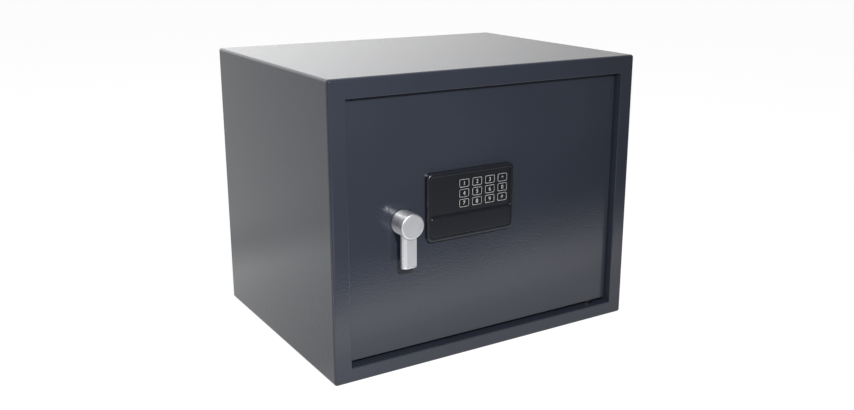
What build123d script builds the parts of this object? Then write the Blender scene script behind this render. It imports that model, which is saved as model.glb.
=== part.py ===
# Electronic safe: a folded steel cabinet with an inset door, a lever handle that
# throws two round bolts, a keypad, an emergency lock behind a strip cover and the
# works under the door's inner cover. Millimetres. The origin is the middle of the
# base, X runs to the right seen from the front, Y to the back and Z up.
# Rest pose: the door is shut, the lever hangs down and the bolts are drawn back.
from build123d import *
from math import cos, radians, sin
import os

os.makedirs("parts", exist_ok=True)

# Cabinet
width = 380.0
height = 310.0
depth = 290.0
wall = 2.0
edge_round = 3.0
frame_left = 19.0
frame_right = 18.0
frame_top = 20.0
frame_bottom = 16.0
return_depth = 25.0
frame_bend = 1.2

# Door
door_recess = 8.5
door_thick = 4.0
gap_left = 1.5
gap_right = 2.0
gap_top = 1.5
gap_bottom = 4.0

# Hinge, hidden behind the door's right edge
hinge_inset = 20.0
hinge_setback = 4.5
hinge_pin_r = 4.0
hinge_fit = 0.05
block_width = 20.0
block_height = 26.0
bracket_thick = 4.0
bracket_width = 24.0
bracket_behind = 12.0
pin_hold = 16.0
pin_chamfer = 0.4
washer_r = 8.0

# Handle
handle_inset = 62.6
handle_rise = 138.8
handle_reach = 22.0
hub_r = 13.0
hub_round = 1.3
hub_washer_r = 13.3
hub_washer_thick = 0.7
hub_gap = 0.3
lever_width = 17.8
lever_thick = 7.3
lever_from_face = 4.8
lever_flat = 8.3
lever_bevel = 2.2
lever_side_round = 3.0
lever_back_round = 2.2
lever_end_round = 1.6
lever_length = 45.8
lever_groove_up = 1.9
lever_groove_wide = 0.7
lever_groove_deep = 0.5
stud_r = 3.0
stud_length = 8.0
spindle_from_face = 6.5
spindle_r = 5.0
spindle_square = 7.0
running_fit = 0.05
seat_fit = 0.02
bush_r = 8.0
bush_flange_r = 11.0
bush_flange_thick = 2.0

# Bolt work
bolt_r = 8.0
bolt_chamfer = 1.0
bolt_throw = 20.0
bolt_spacing = 140.0
bolt_past_return = 1.5
bolt_tip_gap = 9.0
bar_thick = 2.5
bar_end_margin = 14.0
bar_right_reach = 24.0
cam_thick = 3.0
cam_gap = 3.5
cam_screw_r = 1.5
cam_screw_thick = 2.4
cam_screw_chamfer = 0.7
cam_pin_wall = 2.0
cam_pin_past = 1.0
bush_end_gap = 1.0
cam_hub_r = 9.0
cam_pin_r = 3.0
cam_pin_play = 0.6
cam_start = 45.0
guide_thick = 4.0
guide_gap = 3.5
guide_margin = 4.0
guide_corner = 6.0
post_r = 3.0
post_head_r = 5.0
post_head_thick = 2.0
post_spread = 100.0
slide_play = 0.3
strike_thick = 3.0
strike_margin = 22.0
strike_past_bolt = 7.0
strike_play = 0.75
stop_width = 5.0
stop_thick = 3.0
stop_end_gap = 24.0

# Inner cover of the door
liner_depth = 38.0
liner_sheet = 1.2
liner_side_gap = 22.0
liner_hinge_gap = 24.0
liner_end_gap = 16.0
liner_flange = 8.0
liner_bend = 2.0
liner_run = 1.3
liner_screw_inset = 36.0
liner_screw_r = 2.0
liner_screw_bite = 2.0
liner_screw_head_r = 3.7
liner_screw_head_thick = 2.4
liner_screw_chamfer = 0.6

# Keypad
keypad_from_handle = 81.1
keypad_above_handle = 9.8
keypad_width = 109.0
keypad_height = 73.5
keypad_reach = 5.6
keypad_corner = 7.0
keypad_edge = 2.4
rim = 4.6
rim_edge = 0.8
ledge = 1.5
panel_height = 41.9
panel_front = 4.2
panel_thick = 1.0
panel_corner = 2.2
divider = 1.2
board_thick = 1.2
key_wide = 12.6
key_high = 9.3
key_corner = 1.4
key_pitch_x = 16.15
key_pitch_z = 10.65
keys_from_right = 4.18
keys_from_top = 5.8
key_play = 0.15
key_proud = 0.2
key_travel = 0.7
key_lip = 0.4
key_lip_thick = 0.5
key_stem_r = 2.0
strip_thick = 2.0
strip_gap = 0.3
strip_corner = 3.0
strip_edge = 0.9
leg_width = 5.0
leg_thick = 1.2
leg_length = 1.8
leg_from_middle = 40.0
housing_screw_r = 1.25
housing_screw_inset = 3.0
housing_screw_rise = 16.0
housing_screw_bite = 3.0
housing_screw_head_r = 2.5
housing_screw_head_thick = 1.9
cable_r = 1.75
cable_hole_r = 5.0
cable_from_edge = 20.7
cable_above_middle = 13.4
cable_bend = 5.0

# Emergency lock
lock_r = 9.0
lock_head_r = 11.0
lock_head_thick = 1.8
lock_hole_gap = 0.3
lock_length = 20.0
lock_nut_flats = 22.0
lock_nut_thick = 4.0
plug_r = 6.0
keyway_wide = 2.0
keyway_high = 8.0
keyway_deep = 12.0
lock_cam_length = 22.0
lock_cam_width = 10.0
lock_cam_thick = 2.0

# Solenoid that blocks the bolt bar
solenoid_from_handle = 45.9
solenoid_setback = 12.5
solenoid_width = 24.0
solenoid_height = 32.0
solenoid_sheet = 2.0
coil_r = 9.0
plunger_r = 4.0
plunger_fit = 0.1
plunger_travel = 8.0
plunger_below_tab = 1.5
plunger_out = 10.0
plunger_in = 26.0
collar_r = 5.5
collar_thick = 1.5
collar_below_top = 2.5
tab_side_gap = 0.7
tab_drop = 22.0
arm_over_plunger = 2.0
arm_high = 8.0
spring_wire = 0.7
spring_turns = 4

# Control board, cells and reset button
standoff = 6.0
standoff_r = 3.0
standoff_inset = 6.0
circuit_thick = 1.6
circuit_from_cable = 12.0
circuit_height = 70.0
circuit_from_edge = 26.0
circuit_drop = 29.5
connector_tall = 8.0
connector_wide = 8.0
connector_long = 10.0
connector_from_corner = 2.0
chip_wide = 20.0
chip_high = 16.0
chip_drop = 8.0
switch_wide = 5.5
switch_tall = 3.2
lead_setback = 12.5
lead_r = 1.5
lead_gap = 0.1
lead_below_middle = 4.0
lead_flat_share = 0.457
lead_slope_share = 0.18
lead_bend = 12.0
short_lead_bend = 3.5
short_lead_end_share = 0.3
cell_r = 7.1
cell_length = 50.0
cell_pitch = 15.0
cell_count = 4
case_wall = 1.5
case_room = 0.5
cell_end_room = 1.5
lid_room = 4.8
case_drop = 18.0
case_lip = 4.0
case_lip_thick = 1.2
cover_thick = 1.6
cover_play = 0.2
grip_count = 5
grip_high = 1.6
grip_deep = 0.8
grip_width = 20.0
button_r = 4.0
button_play = 0.25
button_proud = 1.5
button_lip_r = 5.5
button_lip_thick = 1.0
button_edge = 0.75
button_travel = 1.0
button_from_edge = 14.0
button_from_top = 14.0

# Holes for fastening the safe down and to a wall
anchor_r = 6.0
anchor_spacing = 200.0
base_anchor_y = 20.0
back_anchor_z = 200.0
mat_thick = 2.5
mat_margin = 4.0
mat_hole_r = 12.0

# Places worked out from the sizes above
front = -depth / 2
back = depth / 2
open_left = -width / 2 + frame_left
open_right = width / 2 - frame_right
open_low = frame_bottom
open_high = height - frame_top
return_end = front + return_depth

door_face = front + door_recess
door_back = door_face + door_thick
door_left = open_left + gap_left
door_right = open_right - gap_right
door_low = open_low + gap_bottom
door_high = open_high - gap_top

hinge_x = door_right - hinge_inset
hinge_y = door_back + hinge_setback

handle_x = door_left + handle_inset
handle_z = door_low + handle_rise
handle_front = door_face - handle_reach
lever_front = handle_front + lever_from_face
lever_back = lever_front + lever_thick
lever_y = (lever_front + lever_back) / 2
hub_back = door_face - hub_washer_thick - hub_gap

bolt_y = return_end + bolt_r + bolt_past_return
bolt_low_z = handle_z - bolt_spacing / 2
bolt_high_z = handle_z + bolt_spacing / 2
bolt_tip = open_left + bolt_tip_gap
bar_back = bolt_y - bolt_r
bar_front = bar_back - bar_thick
cam_back = bar_front - cam_gap
cam_front = cam_back - cam_thick
bush_end = cam_front - bush_end_gap
crank = bolt_throw / (2 * sin(radians(cam_start)))
cam_pin_x = handle_x + crank * sin(radians(cam_start))
cam_pin_z = handle_z - crank * cos(radians(cam_start))

liner_back = door_back + liner_depth
liner_left = door_left + liner_side_gap
liner_right = hinge_x - liner_hinge_gap
liner_low = door_low + liner_end_gap
liner_high = door_high - liner_end_gap
bar_left = liner_left + liner_sheet + liner_run + bolt_throw
bar_right = handle_x + bar_right_reach
guide_right = liner_left - guide_gap
guide_left = guide_right - guide_thick

keypad_x = handle_x + keypad_from_handle
keypad_z = handle_z + keypad_above_handle
keypad_low = keypad_z - keypad_height / 2
keypad_high = keypad_z + keypad_height / 2
panel_high = keypad_high - rim
panel_low = panel_high - panel_height
panel_middle = (panel_low + panel_high) / 2
panel_width = keypad_width - 2 * rim
strip_low = keypad_low + rim
strip_high = panel_low - divider
strip_z = (strip_low + strip_high) / 2
keypad_front = door_face - keypad_reach
panel_face = door_face - panel_front
panel_rear = panel_face + panel_thick
strip_seat = keypad_front + strip_thick + strip_gap
key_front = panel_face - key_proud
cable_x = keypad_x + keypad_width / 2 - cable_from_edge
cable_z = keypad_z + cable_above_middle

lock_x = keypad_x
lock_z = strip_z
lock_end = door_back + lock_length - lock_nut_thick

solenoid_x = handle_x + solenoid_from_handle
solenoid_y = door_back + solenoid_setback
tab_low = handle_z - tab_drop
plunger_top = tab_low - plunger_below_tab
solenoid_top = plunger_top - plunger_out
solenoid_low = solenoid_top - solenoid_height
collar_top = plunger_top - collar_below_top
collar_low = collar_top - collar_thick
arm_low = plunger_top + plunger_travel + arm_over_plunger
tab_left = solenoid_x + collar_r + tab_side_gap
tab_right = solenoid_x - collar_r - tab_side_gap + bolt_throw

circuit_right = liner_right - circuit_from_edge
circuit_left = cable_x + circuit_from_cable
circuit_width = circuit_right - circuit_left
circuit_low = handle_z - circuit_drop
circuit_high = circuit_low + circuit_height
circuit_front = door_back + standoff
circuit_back = circuit_front + circuit_thick
circuit_x = (circuit_left + circuit_right) / 2
lead_y = door_back + lead_setback

case_inner_width = cell_count * cell_pitch + 2 * case_room
case_inner_height = cell_length + 2 * cell_end_room
case_width = case_inner_width + 2 * case_wall
case_height = case_inner_height + 2 * case_wall
case_x = circuit_x
case_high = circuit_low - case_drop
case_z = case_high - case_height / 2
case_front = liner_back - case_wall - 2 * cell_r - case_room - lid_room

button_x = circuit_right - button_from_edge
button_z = circuit_high - button_from_top


def facing(y):
    """A plane across the safe at this depth; a positive extrusion comes forward."""
    return Plane.XZ.offset(-y)


def sideways(x):
    """An upright plane from front to back; a positive extrusion goes to the right."""
    return Plane.YZ.offset(x)


def block(low, high, mode=Mode.ADD):
    """A rectangular block between two corners, added to the open part."""
    middle = [(a + b) / 2 for a, b in zip(low, high)]
    size = [b - a for a, b in zip(low, high)]
    with Locations(tuple(middle)):
        Box(*size, mode=mode)


def keep(part, name):
    """Labels a finished piece and writes it."""
    part.label = name
    export_step(part, f"parts/{name}.step")


# Cabinet: four sides and a front frame folded from one sheet, open at the back
with BuildPart() as body_shell:
    block((-width / 2, front, 0), (width / 2, back, height))
    long_edges = body_shell.edges().filter_by(Axis.Y)
    front_edges = body_shell.faces().sort_by(Axis.Y)[0].edges()
    fillet(long_edges + front_edges, edge_round)
    block(
        (-width / 2 + wall, front + wall, wall),
        (width / 2 - wall, back, height - wall),
        Mode.SUBTRACT,
    )
    block(
        (open_left - wall, front, open_low - wall),
        (open_right + wall, return_end, open_high + wall),
    )
    block((open_left, front, open_low), (open_right, return_end, open_high), Mode.SUBTRACT)
    opening_edges = (
        body_shell.faces().filter_by(Axis.Y).sort_by(Axis.Y)[0].inner_wires()[0].edges()
    )
    fillet(opening_edges, frame_bend)
    with BuildSketch(Plane.XY):
        with Locations((0, base_anchor_y)):
            with GridLocations(anchor_spacing, 0, 2, 1):
                Circle(anchor_r)
    extrude(amount=wall, mode=Mode.SUBTRACT)
    with BuildSketch(Plane.XY.offset(open_low - wall)):
        with Locations((hinge_x, hinge_y)):
            Circle(hinge_pin_r + 2 * slide_play)
    extrude(amount=wall, mode=Mode.SUBTRACT)
    with BuildSketch(Plane.XY.offset(open_high)):
        with Locations((hinge_x, hinge_y)):
            Circle(hinge_pin_r + 2 * slide_play)
    extrude(amount=wall, mode=Mode.SUBTRACT)
keep(body_shell.part, "body_shell")

with BuildPart() as back_panel:
    block(
        (-width / 2 + wall, back - wall, wall),
        (width / 2 - wall, back, height - wall),
    )
    with BuildSketch(facing(back)):
        with Locations((0, back_anchor_z)):
            with GridLocations(anchor_spacing, 0, 2, 1):
                Circle(anchor_r)
    extrude(amount=wall, mode=Mode.SUBTRACT)
keep(back_panel.part, "back_panel")

# Thin carpet on the safe's floor, punched over the two floor holes
with BuildPart() as floor_mat:
    with BuildSketch(Plane.XY.offset(wall)):
        with Locations((0, (return_end + back - wall) / 2)):
            RectangleRounded(
                width - 2 * wall - 2 * mat_margin,
                back - wall - return_end - 2 * mat_margin,
                mat_margin,
            )
        with Locations((0, base_anchor_y)):
            with GridLocations(anchor_spacing, 0, 2, 1):
                Circle(mat_hole_r, mode=Mode.SUBTRACT)
    extrude(amount=mat_thick)
keep(floor_mat.part, "floor_mat")

# Strike plate, welded to the outside of the left return: each bolt enters a square window
strike_right = open_left - wall
strike_window = 2 * (bolt_r + strike_play)
with BuildPart() as strike_plate:
    block(
        (strike_right - strike_thick, front + wall, bolt_low_z - strike_margin),
        (strike_right, bolt_y + bolt_r + strike_past_bolt, bolt_high_z + strike_margin),
    )
    with BuildSketch(sideways(strike_right)):
        with Locations((bolt_y, bolt_low_z), (bolt_y, bolt_high_z)):
            Rectangle(strike_window, strike_window)
    extrude(amount=-strike_thick, mode=Mode.SUBTRACT)
keep(strike_plate.part, "strike_plate")

with BuildPart() as door_stop_strip:
    block(
        (open_left, door_back + slide_play, open_low + stop_end_gap),
        (open_left + stop_width, door_back + slide_play + stop_thick, open_high - stop_end_gap),
    )
keep(door_stop_strip.part, "door_stop_strip")


def hinge_bracket(low_z):
    """A bearing plate for one hinge pin, lying on the frame's return."""
    with BuildPart() as bracket:
        block(
            (hinge_x - bracket_width / 2, front + wall, low_z),
            (hinge_x + bracket_width / 2, hinge_y + bracket_behind, low_z + bracket_thick),
        )
        with BuildSketch(Plane.XY.offset(low_z)):
            with Locations((hinge_x, hinge_y)):
                Circle(hinge_pin_r + hinge_fit)
        extrude(amount=bracket_thick, mode=Mode.SUBTRACT)
    return bracket.part


upper_bracket_low = open_high + wall
lower_bracket_low = open_low - wall - bracket_thick
keep(hinge_bracket(upper_bracket_low), "hinge_bracket_upper")
keep(hinge_bracket(lower_bracket_low), "hinge_bracket_lower")

# Washer that carries the door's weight on the lower return
with BuildPart() as hinge_washer:
    with BuildSketch(Plane.XY.offset(open_low)):
        with Locations((hinge_x, hinge_y)):
            Circle(washer_r)
            Circle(hinge_pin_r + slide_play, mode=Mode.SUBTRACT)
    extrude(amount=gap_bottom - slide_play)
keep(hinge_washer.part, "hinge_washer")

# Door: one thick plate, pierced for the handle, the keypad's cable and the lock
housing_screw_x = keypad_width / 2 - housing_screw_inset
with BuildPart() as door_plate:
    block((door_left, door_face, door_low), (door_right, door_back, door_high))
    face_edges = door_plate.faces().sort_by(Axis.Y)[0].edges()
    fillet(face_edges, hub_gap)
    with BuildSketch(facing(door_back)):
        with Locations((handle_x, handle_z)):
            Circle(bush_r + seat_fit)
        with Locations((cable_x, cable_z)):
            Circle(cable_hole_r)
        with Locations((lock_x, lock_z)):
            Circle(lock_r + lock_hole_gap)
        with Locations((keypad_x, keypad_z)):
            with GridLocations(2 * housing_screw_x, 2 * housing_screw_rise, 2, 2):
                Circle(housing_screw_r + slide_play)
    extrude(amount=door_thick, mode=Mode.SUBTRACT)
    liner_screw_x = (liner_right - liner_left) / 2 - liner_screw_inset
    liner_middle_x = (liner_left + liner_right) / 2
    liner_middle_z = (liner_low + liner_high) / 2
    liner_screw_z = (liner_high - liner_low) / 2 + liner_flange / 2
    with BuildSketch(facing(door_back)):
        with Locations((liner_middle_x, liner_middle_z)):
            with GridLocations(2 * liner_screw_x, 2 * liner_screw_z, 2, 2):
                Circle(liner_screw_r + seat_fit)
    extrude(amount=liner_screw_bite, mode=Mode.SUBTRACT)
keep(door_plate.part, "door_plate")


def hinge_block(low_z):
    """A block welded behind the door plate that holds one hinge pin."""
    with BuildPart() as pin_block:
        block(
            (hinge_x - block_width / 2, door_back, low_z),
            (hinge_x + block_width / 2, door_back + 2 * hinge_setback, low_z + block_height),
        )
        with BuildSketch(Plane.XY.offset(low_z)):
            with Locations((hinge_x, hinge_y)):
                Circle(hinge_pin_r + seat_fit)
        extrude(amount=block_height, mode=Mode.SUBTRACT)
    return pin_block.part


def hinge_pin(low_z, high_z):
    """A round pin, held in its block and turning in the frame's bracket."""
    with BuildPart() as pin:
        with BuildSketch(Plane.XY.offset(low_z)):
            with Locations((hinge_x, hinge_y)):
                Circle(hinge_pin_r)
        extrude(amount=high_z - low_z)
        chamfer(pin.edges().filter_by(GeomType.CIRCLE), pin_chamfer)
    return pin.part


keep(hinge_block(door_high - block_height), "hinge_block_upper")
keep(hinge_block(door_low), "hinge_block_lower")
keep(
    hinge_pin(door_high - pin_hold, upper_bracket_low + bracket_thick),
    "hinge_pin_upper",
)
keep(hinge_pin(lower_bracket_low, door_low + pin_hold), "hinge_pin_lower")

# Inner cover: a pressed box over the works, with a flange at its top and bottom
window_width = case_width + 2 * cover_play
window_height = case_height + 2 * cover_play
with BuildPart() as door_liner:
    block((liner_left, door_back, liner_low), (liner_right, liner_back, liner_high))
    fillet(door_liner.faces().sort_by(Axis.Y)[-1].edges(), liner_bend)
    block(
        (liner_left + liner_sheet, door_back, liner_low + liner_sheet),
        (liner_right - liner_sheet, liner_back - liner_sheet, liner_high - liner_sheet),
        Mode.SUBTRACT,
    )
    block(
        (liner_left, door_back, liner_high),
        (liner_right, door_back + liner_sheet, liner_high + liner_flange),
    )
    block(
        (liner_left, door_back, liner_low - liner_flange),
        (liner_right, door_back + liner_sheet, liner_low),
    )
    with BuildSketch(sideways(liner_left)):
        with Locations((bolt_y, bolt_low_z), (bolt_y, bolt_high_z)):
            Circle(bolt_r + strike_play)
    extrude(amount=liner_sheet, mode=Mode.SUBTRACT)
    with BuildSketch(facing(liner_back)):
        with Locations((case_x, case_z)):
            Rectangle(window_width, window_height)
        with Locations((button_x, button_z)):
            Circle(button_r + button_play)
    extrude(amount=liner_sheet, mode=Mode.SUBTRACT)
    with BuildSketch(facing(door_back + liner_sheet)):
        with Locations((liner_middle_x, liner_middle_z)):
            with GridLocations(2 * liner_screw_x, 2 * liner_screw_z, 2, 2):
                Circle(liner_screw_r + slide_play)
    extrude(amount=liner_sheet, mode=Mode.SUBTRACT)
keep(door_liner.part, "door_liner")

with BuildPart() as liner_screws:
    with BuildSketch(facing(door_back + liner_sheet)):
        with Locations((liner_middle_x, liner_middle_z)):
            with GridLocations(2 * liner_screw_x, 2 * liner_screw_z, 2, 2):
                Circle(liner_screw_r)
    extrude(amount=liner_sheet + liner_screw_bite)
    with BuildSketch(facing(door_back + liner_sheet)):
        with Locations((liner_middle_x, liner_middle_z)):
            with GridLocations(2 * liner_screw_x, 2 * liner_screw_z, 2, 2):
                Circle(liner_screw_head_r)
    extrude(amount=-liner_screw_head_thick)
    chamfer(liner_screws.faces().sort_by(Axis.Y)[-4:].edges(), liner_screw_chamfer)
keep(liner_screws.part, "liner_screws")

# Handle: turned hub with a bevelled lever bar, on a spindle through the door
with BuildPart() as handle_washer:
    with BuildSketch(facing(door_face)):
        with Locations((handle_x, handle_z)):
            Circle(hub_washer_r)
            Circle(bush_r + slide_play, mode=Mode.SUBTRACT)
    extrude(amount=hub_washer_thick)
keep(handle_washer.part, "handle_washer")

with BuildPart() as spindle_bush:
    with BuildSketch(facing(bush_end)):
        with Locations((handle_x, handle_z)):
            Circle(bush_r)
    extrude(amount=bush_end - door_face)
    with BuildSketch(facing(door_back)):
        with Locations((handle_x, handle_z)):
            Circle(bush_flange_r)
    extrude(amount=-bush_flange_thick)
    with BuildSketch(facing(bush_end)):
        with Locations((handle_x, handle_z)):
            Circle(spindle_r + running_fit)
    extrude(amount=bush_end - door_face, mode=Mode.SUBTRACT)
keep(spindle_bush.part, "spindle_bush")

spindle_front = handle_front + spindle_from_face
with BuildPart() as handle_hub:
    with BuildSketch(facing(hub_back)):
        with Locations((handle_x, handle_z)):
            Circle(hub_r)
    extrude(amount=hub_back - handle_front)
    fillet(handle_hub.faces().sort_by(Axis.Y)[0].edges(), hub_round)
    with BuildSketch(facing(hub_back)):
        with Locations((handle_x, handle_z)):
            Circle(spindle_r + seat_fit)
    extrude(amount=hub_back - spindle_front, mode=Mode.SUBTRACT)
    with BuildSketch(Plane.XY.offset(handle_z - hub_r)):
        with Locations((handle_x, lever_y)):
            Circle(stud_r + seat_fit)
    extrude(amount=hub_r - spindle_r - 2 * seat_fit, mode=Mode.SUBTRACT)
keep(handle_hub.part, "handle_hub")


def lever_section(z, inset=0.0):
    """The lever's section at this height, inset all round."""
    side = lever_width / 2 - inset
    shoulder = lever_front + lever_bevel
    with BuildSketch(Plane.XY.offset(z)) as section:
        with BuildLine():
            Polyline(
                (handle_x - side, lever_back - inset),
                (handle_x - side, shoulder),
                (handle_x - lever_flat / 2, lever_front + inset),
                (handle_x + lever_flat / 2, lever_front + inset),
                (handle_x + side, shoulder),
                (handle_x + side, lever_back - inset),
                close=True,
            )
        make_face()
        fillet(section.vertices().group_by(Axis.Y)[1], lever_side_round)
        fillet(section.vertices().group_by(Axis.Y)[-1], lever_back_round)
    return section.sketch


lever_low = handle_z - lever_length
groove_high = lever_groove_up + lever_groove_wide
with BuildPart() as handle_lever:
    extrude(lever_section(lever_low), amount=lever_groove_up)
    fillet(handle_lever.faces().sort_by(Axis.Z)[0].edges(), lever_end_round)
    neck = lever_section(lever_low + lever_groove_up, lever_groove_deep)
    extrude(neck, amount=lever_groove_wide)
    extrude(lever_section(lever_low + groove_high), amount=lever_length - groove_high)
    with BuildSketch(facing(door_face)):
        with Locations((handle_x, handle_z)):
            Circle(hub_r + seat_fit)
    extrude(amount=handle_reach, mode=Mode.SUBTRACT)
    with BuildSketch(Plane.XY.offset(handle_z - hub_r - seat_fit)):
        with Locations((handle_x, lever_y)):
            Circle(stud_r)
    extrude(amount=stud_length - 2 * seat_fit)
keep(handle_lever.part, "handle_lever")

with BuildPart() as handle_spindle:
    with BuildSketch(facing(cam_front - running_fit)):
        with Locations((handle_x, handle_z)):
            Circle(spindle_r)
    extrude(amount=cam_front - running_fit - spindle_front - seat_fit)
    with BuildSketch(facing(cam_back)):
        with Locations((handle_x, handle_z)):
            Rectangle(spindle_square, spindle_square)
            Circle(cam_screw_r + seat_fit, mode=Mode.SUBTRACT)
    extrude(amount=cam_thick + running_fit)
keep(handle_spindle.part, "handle_spindle")

with BuildPart() as handle_cam:
    with BuildSketch(facing(cam_back)):
        with Locations((handle_x, handle_z)):
            Circle(cam_hub_r)
        with Locations((cam_pin_x, cam_pin_z)):
            Circle(cam_pin_r + cam_pin_wall)
        make_hull()
        with Locations((handle_x, handle_z)):
            Rectangle(
                spindle_square + 2 * seat_fit,
                spindle_square + 2 * seat_fit,
                mode=Mode.SUBTRACT,
            )
    extrude(amount=cam_thick)
    with BuildSketch(facing(bar_back + cam_pin_past)):
        with Locations((cam_pin_x, cam_pin_z)):
            Circle(cam_pin_r)
    extrude(amount=bar_back + cam_pin_past - cam_back)
keep(handle_cam.part, "handle_cam")

with BuildPart() as cam_screw:
    with BuildSketch(facing(cam_back)):
        with Locations((handle_x, handle_z)):
            Circle(spindle_r)
    extrude(amount=-cam_screw_thick)
    chamfer(cam_screw.faces().sort_by(Axis.Y)[-1].edges(), cam_screw_chamfer)
    with BuildSketch(facing(cam_back)):
        with Locations((handle_x, handle_z)):
            Circle(cam_screw_r)
    extrude(amount=cam_thick)
keep(cam_screw.part, "cam_screw")

# Bolt work: an L-shaped bar carries both bolts; the crank pin drives its slot
slot_low = handle_z - crank - cam_pin_r - cam_pin_play
slot_high = cam_pin_z + cam_pin_r + cam_pin_play
bar_low = bolt_low_z - bar_end_margin
bar_high = bolt_high_z + bar_end_margin
flange_right = bar_left + bar_thick
post_x = flange_right + post_head_r + post_r + slide_play
with BuildPart() as bolt_bar:
    block((bar_left, bar_front, bar_low), (bar_right, bar_back, bar_high))
    block((bar_left, bar_front, bar_low), (flange_right, bolt_y + bolt_r, bar_high))
    block(
        (bar_right, bar_front, arm_low),
        (tab_right, bar_back, arm_low + arm_high),
    )
    block((tab_left, bar_front, tab_low), (tab_right, bar_back, arm_low + arm_high))
    block(
        (
            cam_pin_x - cam_pin_r - cam_pin_play,
            bar_front,
            slot_low,
        ),
        (cam_pin_x + cam_pin_r + cam_pin_play, bar_back, slot_high),
        Mode.SUBTRACT,
    )
    with BuildSketch(facing(bar_back)):
        for rise in (-post_spread / 2, post_spread / 2):
            with Locations((post_x + bolt_throw / 2, handle_z + rise)):
                SlotCenterToCenter(bolt_throw, 2 * (post_r + slide_play))
    extrude(amount=bar_thick, mode=Mode.SUBTRACT)
keep(bolt_bar.part, "bolt_bar")

with BuildPart() as locking_bolts:
    with BuildSketch(sideways(bolt_tip)):
        with Locations((bolt_y, bolt_low_z), (bolt_y, bolt_high_z)):
            Circle(bolt_r)
    extrude(amount=bar_left - bolt_tip)
    chamfer(locking_bolts.faces().sort_by(Axis.X)[:2].edges(), bolt_chamfer)
keep(locking_bolts.part, "locking_bolts")


def bolt_guide(z):
    """A plate welded behind the door that carries one bolt."""
    reach = bolt_r + guide_margin
    with BuildPart() as guide:
        block((guide_left, door_back, z - reach), (guide_right, bolt_y + reach, z + reach))
        fillet(guide.faces().sort_by(Axis.Y)[-1].edges().filter_by(Axis.X), guide_corner)
        with BuildSketch(sideways(guide_left)):
            with Locations((bolt_y, z)):
                Circle(bolt_r + running_fit)
        extrude(amount=guide_thick, mode=Mode.SUBTRACT)
    return guide.part


keep(bolt_guide(bolt_high_z), "bolt_guide_upper")
keep(bolt_guide(bolt_low_z), "bolt_guide_lower")

with BuildPart() as guide_posts:
    with BuildSketch(facing(door_back)):
        for rise in (-post_spread / 2, post_spread / 2):
            with Locations((post_x, handle_z + rise)):
                Circle(post_r)
    extrude(amount=door_back - bar_back - slide_play)
    with BuildSketch(facing(bar_back + slide_play)):
        for rise in (-post_spread / 2, post_spread / 2):
            with Locations((post_x, handle_z + rise)):
                Circle(post_head_r)
    extrude(amount=-post_head_thick)
keep(guide_posts.part, "guide_posts")

# Keypad: a moulded bezel screwed on from behind, with a panel of windows for the keys
with BuildPart() as keypad_housing:
    with BuildSketch(facing(door_face)):
        with Locations((keypad_x, keypad_z)):
            RectangleRounded(keypad_width, keypad_height, keypad_corner)
    extrude(amount=keypad_reach)
    fillet(keypad_housing.faces().sort_by(Axis.Y)[0].edges(), keypad_edge)
    with BuildSketch(facing(panel_rear)):
        with Locations((keypad_x, panel_middle)):
            RectangleRounded(panel_width, panel_height, panel_corner)
    extrude(amount=keypad_reach, mode=Mode.SUBTRACT)
    fillet(keypad_housing.faces().sort_by(Axis.Y)[0].inner_wires()[0].edges(), rim_edge)
    with BuildSketch(facing(door_face)):
        with Locations((keypad_x, panel_middle)):
            Rectangle(panel_width - 2 * ledge, panel_height - 2 * ledge)
    extrude(amount=keypad_reach, mode=Mode.SUBTRACT)
    with BuildSketch(facing(strip_seat)):
        with Locations((keypad_x, strip_z)):
            RectangleRounded(
                panel_width + 2 * strip_gap,
                strip_high - strip_low + 2 * strip_gap,
                strip_corner + strip_gap,
            )
    extrude(amount=keypad_reach, mode=Mode.SUBTRACT)
    with BuildSketch(facing(door_face)):
        with Locations((lock_x, lock_z)):
            Circle(lock_head_r + lock_hole_gap)
        with Locations((keypad_x, strip_z)):
            with GridLocations(2 * leg_from_middle, 0, 2, 1):
                Rectangle(leg_width + 2 * strip_gap, leg_thick + 2 * strip_gap)
    extrude(amount=keypad_reach, mode=Mode.SUBTRACT)
    with BuildSketch(facing(door_face)):
        with Locations((keypad_x, keypad_z)):
            with GridLocations(2 * housing_screw_x, 2 * housing_screw_rise, 2, 2):
                Circle(housing_screw_r + seat_fit)
    extrude(amount=housing_screw_bite + slide_play, mode=Mode.SUBTRACT)
keep(keypad_housing.part, "keypad_housing")

key_columns = 4
key_rows = 3
key_right = keypad_x + panel_width / 2 - keys_from_right
key_high_z = panel_high - keys_from_top
key_middle_x = key_right - ((key_columns - 1) * key_pitch_x + key_wide) / 2
key_middle_z = key_high_z - ((key_rows - 1) * key_pitch_z + key_high) / 2
with BuildPart() as keypad_panel:
    with BuildSketch(facing(panel_rear)):
        with Locations((keypad_x, panel_middle)):
            RectangleRounded(
                panel_width - 2 * key_play,
                panel_height - 2 * key_play,
                panel_corner,
            )
        with Locations((key_middle_x, key_middle_z)):
            with GridLocations(key_pitch_x, key_pitch_z, key_columns, key_rows):
                RectangleRounded(
                    key_wide + 2 * key_play,
                    key_high + 2 * key_play,
                    key_corner + key_play,
                    mode=Mode.SUBTRACT,
                )
    extrude(amount=panel_thick)
keep(keypad_panel.part, "keypad_panel")

with BuildPart() as keypad_board:
    with BuildSketch(facing(door_face)):
        with Locations((keypad_x, panel_middle)):
            Rectangle(
                panel_width - 2 * ledge - 2 * slide_play,
                panel_height - 2 * ledge - 2 * slide_play,
            )
    extrude(amount=board_thick)
keep(keypad_board.part, "keypad_board")

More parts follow.
